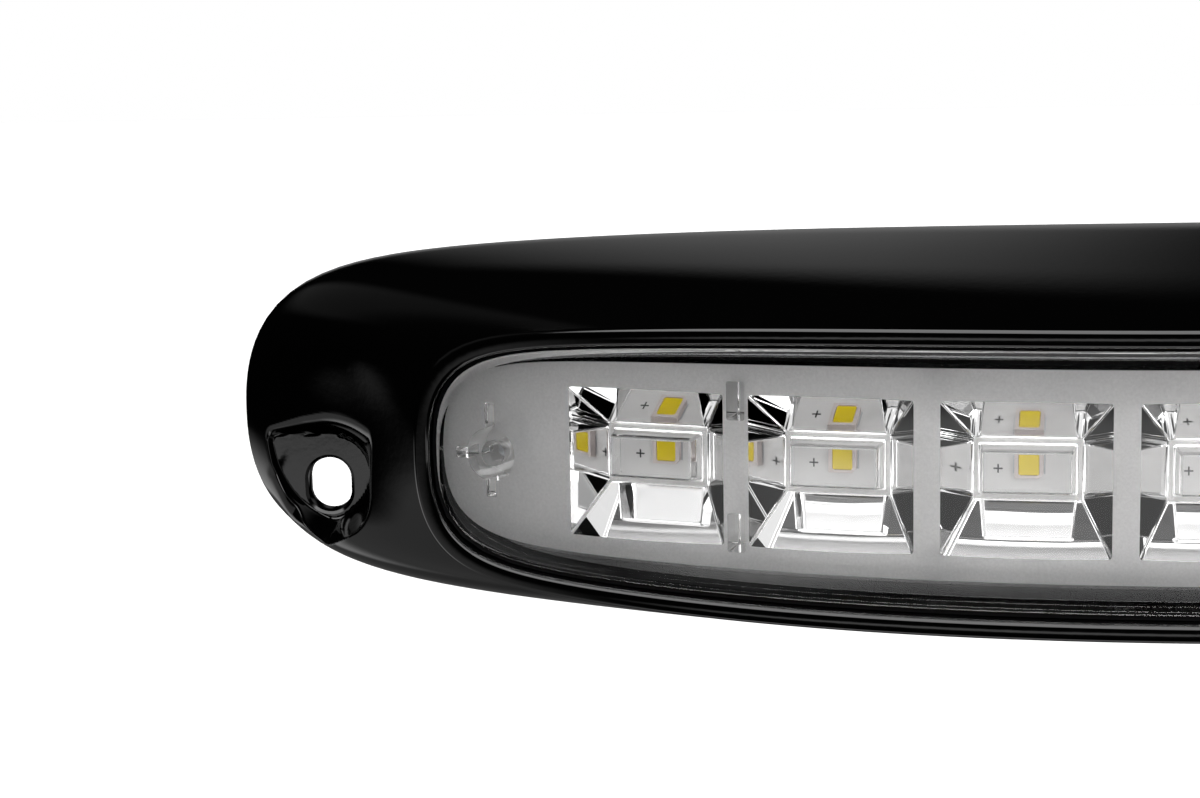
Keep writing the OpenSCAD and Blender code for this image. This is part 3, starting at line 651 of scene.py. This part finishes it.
# LED board. Aluminium-core board under a white solder mask, bowed with the lens. The mask is
# screen printed and cured: bright white, half matt, with a faint texture of under a millimetre.
MASK_PER_MM, MASK_RELIEF = 1.5, 0.02
mask_white, tree = material("white_solder_mask")
where = node(tree, "ShaderNodeTexCoord").outputs["Object"]
texture = node(tree, "ShaderNodeTexNoise", [("Vector", where), ("Scale", MASK_PER_MM / mm), ("Detail", 2)])
bump = node(tree, "ShaderNodeBump", [
    ("Height", texture.outputs["Fac"]), ("Strength", 0.08), ("Distance", MASK_RELIEF * mm)])
cured = node(tree, "ShaderNodeBsdfPrincipled", [
    ("Base Color", linear("F2F1F0")), ("Roughness", 0.42), ("IOR", 1.5), ("Normal", bump.outputs["Normal"])])
node(tree, "ShaderNodeOutputMaterial", [("Surface", cured.outputs["BSDF"])])
dress("led_board", mask_white)

# Solder pads and polarity marks, on the board beside each LED. The pads are tinned copper, two
# to an LED and mostly hidden under it. The marks are a plain plus sign in legend ink.
PAD_X, PAD_HALF_W, PAD_HALF_H, PAD_T, PAD_ROUND = 1.38, 0.3, 1.1, 0.05, 0.02
MARK_X, MARK_Z, MARK_LENGTH, STROKE, INK_T = -3.2, -0.6, 0.95, 0.16, 0.02
# Both start just off the board, so that no two faces lie in one plane
PAD_OFF, INK_OFF = 0.002, 0.004
# Reflowed tin: bright grey metal, blurred by crystals of about 0.3 mm
tin = grained("reflowed_tin_solder", "C4C8CC", "D6D9DC", 0.38, 0.3, 0.02, metallic=1.0)
pad = joined("pad", [
    bar_mesh("pad", side - PAD_HALF_W, side + PAD_HALF_W, PAD_OFF, PAD_T, -PAD_HALF_H, PAD_HALF_H, PAD_ROUND)
    for side in (-PAD_X, PAD_X)])
place("solder_pads", row_along_bow(pad, "solder_pads", BOARD_R, tin), "led_package")
# Screen-printed ink: dark grey and half matt, thinner and paler between its threads
ink = grained("dark_legend_ink", "2C2D2F", "3E3F41", 0.55, 0.08, 0.004)
plus = joined("plus", [
    bar_mesh("stroke", MARK_X - w / 2, MARK_X + w / 2, INK_OFF, INK_T, MARK_Z - h / 2, MARK_Z + h / 2)
    for w, h in ((MARK_LENGTH, STROKE), (STROKE, MARK_LENGTH))])
place("polarity_marks", row_along_bow(plus, "polarity_marks", BOARD_R, ink), "chip_black")

# LEDs. Eight white ceramic packages, 3 mm square, each with one corner cut to show its polarity,
# and a yellow phosphor in silicone that fills its window.
LED_HALF, LED_CUT, LED_T, WELL_T = 1.5, 0.5, 0.7, 0.36
WELL_X, WELL_Z, WELL_ROUND = 0.78, 0.88, 0.32
FILL_HALF_W, FILL_HALF_H, FILL_GAP, FILL_ROUND = 1.07, 1.17, 0.01, 0.12
# Fired ceramic: a warm white with a soft sheen, even but for its fine grain
ceramic = grained("white_led_ceramic", "E2D6D2", "EBE0DC", 0.4, 0.1, 0.003)
# Phosphor powder in silicone: a strong, slightly uneven yellow with a soft sheen
phosphor = grained("yellow_phosphor_silicone", "F6DA04", "FFE410", 0.45, 0.15, 0.01, ior=1.41)


def package_mesh():
    """A square block with a cut corner and a rounded well, standing at the origin towards -Y."""
    bm = bmesh.new()
    half, cut = LED_HALF, LED_CUT
    outline = [(-half, -half), (half - cut, -half), (half, -half + cut), (half, half), (-half, half)]
    window = []
    for cx, cz, start in ((-WELL_X, -WELL_Z, 180), (WELL_X, -WELL_Z, 270), (WELL_X, WELL_Z, 0),
                          (-WELL_X, WELL_Z, 90)):
        for a in np.radians(np.arange(start, start + 91, 22.5)):
            window.append((cx + WELL_ROUND * math.cos(a), cz + WELL_ROUND * math.sin(a)))
    verts = {}
    for key, ring, depth in (("foot", outline, 0.0), ("top", outline, LED_T), ("lip", window, LED_T),
                             ("well", window, WELL_T)):
        verts[key] = [bm.verts.new((x * mm, -depth * mm, z * mm)) for x, z in ring]
    bm.faces.new(verts["foot"])
    bm.faces.new(verts["well"])
    edges = []
    for low, high, rim in (("foot", "top", "top"), ("lip", "well", "lip")):
        n = len(verts[low])
        for i in range(n):
            j = (i + 1) % n
            bm.faces.new([verts[low][i], verts[low][j], verts[high][j], verts[high][i]])
            edges.append(bm.edges.get([verts[rim][i], verts[rim][j]]))
    bmesh.ops.bridge_loops(bm, edges=edges)
    bmesh.ops.recalc_face_normals(bm, faces=bm.faces)
    me = bpy.data.meshes.new("led_package")
    bm.to_mesh(me)
    bm.free()
    return me


packages = row_along_bow(package_mesh(), "led_packages", BOARD_R, ceramic)
place("led_packages", packages, "led_package", *[f"led_{i}" for i in range(1, LED_COUNT + 1)])
fill = bar_mesh("window", -FILL_HALF_W, FILL_HALF_W, WELL_T + FILL_GAP, LED_T - FILL_GAP,
                -FILL_HALF_H, FILL_HALF_H, FILL_ROUND)
filled = row_along_bow(fill, "phosphor_windows", BOARD_R, phosphor)
place("phosphor_windows", filled, "phosphor", "led_phosphor")

# Small parts on and behind the board: resistors, pad, carrier, screws and pins. They are bought
# in, but for the carrier, which is milled from aluminium and spreads the heat.
# Epoxy moulding compound: dark grey and matt, with the mould's fine spark grain
moulded_black = grained("black_moulding_compound", "1E1F21", "2A2B2D", 0.5, 0.12, 0.01, ior=1.55)
# Filled silicone, calendered: soft mid grey and dull, speckled by its filler
silicone_pad = grained("grey_silicone_gap_pad", "949BA2", "A3AAB0", 0.75, 0.3, 0.03, ior=1.42)
# Zinc plating on a turned screw: a pale, slightly cloudy metal
zinc = grained("zinc_plated_steel", "B9BDC1", "CFD2D4", 0.3, 0.25, 0.004, metallic=1.0)
# Drawn brass: warm yellow metal with faint drawing marks
brass = grained("drawn_brass_pin", "CFA850", "DDB968", 0.3, 0.2, 0.004, metallic=1.0)
# Milled aluminium: bright, with tool marks that run along the lamp, about 1 mm apart and 17 mm long
MARKS_PER_MM, MARK_RUN, MARK_RELIEF = 0.9, 0.06, 0.03
aluminium, tree = material("milled_aluminium")
where = node(tree, "ShaderNodeTexCoord").outputs["Object"]
turned = node(tree, "ShaderNodeMapping", [
    ("Vector", where), ("Scale", (MARK_RUN / mm, MARKS_PER_MM / mm, MARKS_PER_MM / mm))])
lines = node(tree, "ShaderNodeTexNoise", [("Vector", turned.outputs[0]), ("Scale", 1.0), ("Detail", 3)])
bump = node(tree, "ShaderNodeBump", [
    ("Height", lines.outputs["Fac"]), ("Strength", 0.15), ("Distance", MARK_RELIEF * mm)])
milled = node(tree, "ShaderNodeBsdfPrincipled", [
    ("Base Color", linear("D6D8DA")), ("Metallic", 1.0), ("Roughness", 0.36),
    ("Normal", bump.outputs["Normal"])])
node(tree, "ShaderNodeOutputMaterial", [("Surface", milled.outputs["BSDF"])])
dress("board_resistors", moulded_black)
dress("thermal_pad", silicone_pad)
dress("heat_carrier", aluminium)
for name in ("carrier_screws", "lens_screws", "cover_screws", "driver_screws"):
    dress(name, zinc)
dress("link_pins", brass)

# Back cover. A flat black nylon moulding, set just below the mounting face on a rubber seal, with
# countersunk screws, a cable grommet and a breather cap.
# Glass-filled nylon: black and matt, with the glass showing as a fine grain, drawn at about half a mm
NYLON_PER_MM, NYLON_RELIEF = 2.2, 0.04
nylon, tree = material("black_glass_filled_nylon")
where = node(tree, "ShaderNodeTexCoord").outputs["Object"]
grain = node(tree, "ShaderNodeTexNoise", [("Vector", where), ("Scale", NYLON_PER_MM / mm), ("Detail", 3)])
bump = node(tree, "ShaderNodeBump", [
    ("Height", grain.outputs["Fac"]), ("Strength", 0.3), ("Distance", NYLON_RELIEF * mm)])
moulded = node(tree, "ShaderNodeBsdfPrincipled", [
    ("Base Color", linear("1A1A1C")), ("Roughness", 0.58), ("IOR", 1.53), ("Normal", bump.outputs["Normal"])])
node(tree, "ShaderNodeOutputMaterial", [("Surface", moulded.outputs["BSDF"])])
# Sintered plastic, as assumed for a breather: a chalky off-white, rough from its pores
vent_white = grained("porous_white_vent_cap", "C2C4C5", "DADCDD", 0.8, 0.15, 0.03, ior=1.4)
dress("back_cover", nylon)
dress("cover_seal", rubber)
dress("cable_grommet", rubber)
dress("breather_vent", vent_white)

# Driver. A green board on four standoffs, with its coil, chip, diode, capacitors and terminal.
# It is hidden in the closed lamp.
# Solder mask over copper: a glossy green, darker where the mask is thick
mask_green = grained("green_solder_mask", "1C6035", "237241", 0.35, 0.6, 0.01)
# Deep-drawn aluminium cans: a pale, soft metal sheen
can = grained("drawn_capacitor_can", "A2A7AD", "B2B7BC", 0.3, 0.3, 0.004, metallic=1.0)
# Moulded polyamide: a clear green, half matt
terminal_green = grained("green_moulded_terminal", "2B8548", "349655", 0.5, 0.2, 0.01)
dress("driver_board", mask_green)
for name in ("driver_coil", "driver_chip", "driver_diode"):
    dress(name, moulded_black)
dress("driver_capacitors", can)
dress("driver_terminal", terminal_green)

# Studio. Two soft boxes, over the front and at the right, a pale table, and dim parts of the
# room behind. The camera sees plain white behind the lamp; the paint and the lens see this
# light by direction, and it is stronger for rays that come through the lens.
world = bpy.data.worlds.new("studio")
scene.world = world
world.use_nodes = True
tree = world.node_tree
tree.nodes.clear()
ray = node(tree, "ShaderNodeLightPath")
way = node(tree, "ShaderNodeTexCoord").outputs["Generated"]
parts = node(tree, "ShaderNodeSeparateXYZ", [(0, way)])
level_way = node(tree, "ShaderNodeVectorMath", [(0, way), (1, (1, 1, 0))], operation="MULTIPLY")
heading = node(tree, "ShaderNodeVectorMath", [(0, level_way.outputs[0])], operation="NORMALIZE").outputs[0]
# Channels: the direction's X, Y and Z, how far it is to either side, whether it came through the
# lens, and how near it lies to each soft box and to straight ahead
channels = {axis: parts.outputs[axis] for axis in "XYZ"}
channels["side"] = node(tree, "ShaderNodeMath", [(0, channels["X"])], operation="ABSOLUTE").outputs[0]
channels["through"] = ray.outputs["Is Transmission Ray"]
for label, source, pole in (("box", way, (0, -0.5, 0.866)), ("wall", way, (0.82, -0.57, 0)),
                            ("ahead", heading, (0, -1, 0))):
    near_pole = node(tree, "ShaderNodeVectorMath", [(0, source), (1, pole)], operation="DOT_PRODUCT")
    channels[label] = near_pole.outputs["Value"]
# Each light is a product of soft steps: the channel, where the step starts and ends, and its two levels.
# The two sheets are added to the height instead, and bend the table's far edge into the channel "sheet"
lights = {
    "sheet": (("ahead", -0.03, 0.07, 0.055, 0.0),),
    "sheet in front": (("ahead", 0.88, 0.95, 0.0, -0.015),),
    "soft box over the front": (("box", 0.72, 0.80, 0.0, 4.0),),
    "soft box at the right": (("wall", 0.62, 0.78, 0.0, 2.2), ("through", 0.0, 1.0, 0.3, 1.0)),
    "table at the sides": (("ahead", -1.0, 0.1, 0.1, 0.45), ("ahead", 0.55, 0.75, 1.0, 0.0),
                           ("sheet", -0.26, -0.15, 1.0, 0.0)),
    "table in front": (("ahead", 0.70, 0.90, 0.0, 1.25), ("Z", -0.245, -0.228, 0.0, 1.0),
                       ("sheet", -0.20, -0.186, 1.0, 0.0)),
    "table below": (("ahead", 0.1, 0.5, 0.0, 1.5), ("Z", -0.88, -0.78, 1.0, 0.0)),
    "table through the lens": (("through", 0.0, 1.0, 0.0, 1.0), ("ahead", 0.1, 0.5, 0.0, 1.0),
                               ("Z", -0.88, -0.78, 0.0, 1.0), ("Z", -0.21, -0.19, 0.85, 0.0)),
    "room at the left": (("X", -0.50, -0.38, 0.07, 0.0), ("Z", 0.22, 0.38, 0.0, 1.0),
                         ("Y", -0.2, 0.2, 0.0, 1.0)),
    "room at the right": (("X", 0.38, 0.60, 0.0, 0.30), ("Z", 0.10, 0.30, 0.0, 1.0),
                          ("Y", -0.2, 0.2, 0.0, 1.0)),
    "table behind": (("side", 0.50, 0.62, 0.0, 1.0), ("Y", 0.2, 0.5, 0.0, 1.0),
                     ("Y", 0.75, 0.85, 1.0, 0.0), ("Z", -0.25, -0.15, 0.8, 0.0)),
    "ceiling": (("Y", 0.0, 0.3, 0.0, 1.0), ("side", 0.0, 0.22, 1.0, 0.0),
                ("Z", 0.42, 0.56, 0.19, 0.0), ("Z", 0.12, 0.20, 0.0, 1.0)),
    "backdrop": (("Y", 0.0, 0.3, 0.0, 1.0), ("side", 0.25, 0.42, 1.0, 0.0),
                 ("Z", 0.12, 0.20, 0.30, 0.0), ("Z", -0.25, -0.15, 0.0, 1.0)),
}
channels["sheet"], studio = channels["Z"], None
for label, steps in lights.items():
    level = None
    for channel, start, end, low, high in steps:
        step = node(tree, "ShaderNodeMapRange", [
            ("Value", channels[channel]), ("From Min", start), ("From Max", end), ("To Min", low),
            ("To Max", high)], interpolation_type="SMOOTHSTEP").outputs[0]
        if level is None:
            level = step
        else:
            level = node(tree, "ShaderNodeMath", [(0, level), (1, step)], operation="MULTIPLY").outputs[0]
    if label.startswith("sheet"):
        channels["sheet"] = node(tree, "ShaderNodeMath", [(0, channels["sheet"]), (1, level)]).outputs[0]
    elif studio is None:
        studio = level
    else:
        studio = node(tree, "ShaderNodeMath", [(0, studio), (1, level)]).outputs[0]
seen = node(tree, "ShaderNodeBackground", [("Color", (1, 1, 1, 1)), ("Strength", 1.0)])
lit = node(tree, "ShaderNodeBackground", [("Color", (1, 1, 1, 1)), ("Strength", studio)])
both = node(tree, "ShaderNodeMixShader", [
    (0, ray.outputs["Is Camera Ray"]), (1, lit.outputs[0]), (2, seen.outputs[0])])
node(tree, "ShaderNodeOutputWorld", [("Surface", both.outputs[0])])

# Floor. A pale matt board under the lamp, which only the camera sees and shadows fall on: the
# table that the paint mirrors is part of the light above.
FLOOR_HALF_W, FLOOR_FRONT, FLOOR_BACK, FLOOR_DROP = 1500, -720, 2500, -150
board = to_mesh("table", [
    (-FLOOR_HALF_W, FLOOR_FRONT, FLOOR_DROP), (FLOOR_HALF_W, FLOOR_FRONT, FLOOR_DROP),
    (FLOOR_HALF_W, FLOOR_BACK, FLOOR_DROP), (-FLOOR_HALF_W, FLOOR_BACK, FLOOR_DROP)], [(0, 1, 2, 3)])
pale, tree = material("pale_matt_table")
matt = node(tree, "ShaderNodeBsdfDiffuse", [("Color", linear("F2F2F2"))])
node(tree, "ShaderNodeOutputMaterial", [("Surface", matt.outputs[0])])
board.materials.append(pale)
floor = bpy.data.objects.new("floor", board)
scene.collection.objects.link(floor)
floor.visible_glossy = floor.visible_transmission = floor.visible_diffuse = False

# Camera. It stands a little to the left and above, at the photograph's distance and lens.
camera = bpy.data.objects.new("camera", bpy.data.cameras.new("camera"))
scene.collection.objects.link(camera)
camera.data.sensor_width = 36
camera.data.lens = 84
camera.data.clip_start = 0.01
camera.location = (-59.78 * mm, -327.06 * mm, 59.93 * mm)
camera.rotation_euler = [math.radians(turn) for turn in (79.9748, 1.0736, 2.8504)]
scene.camera = camera
scene.view_settings.view_transform = "Standard"
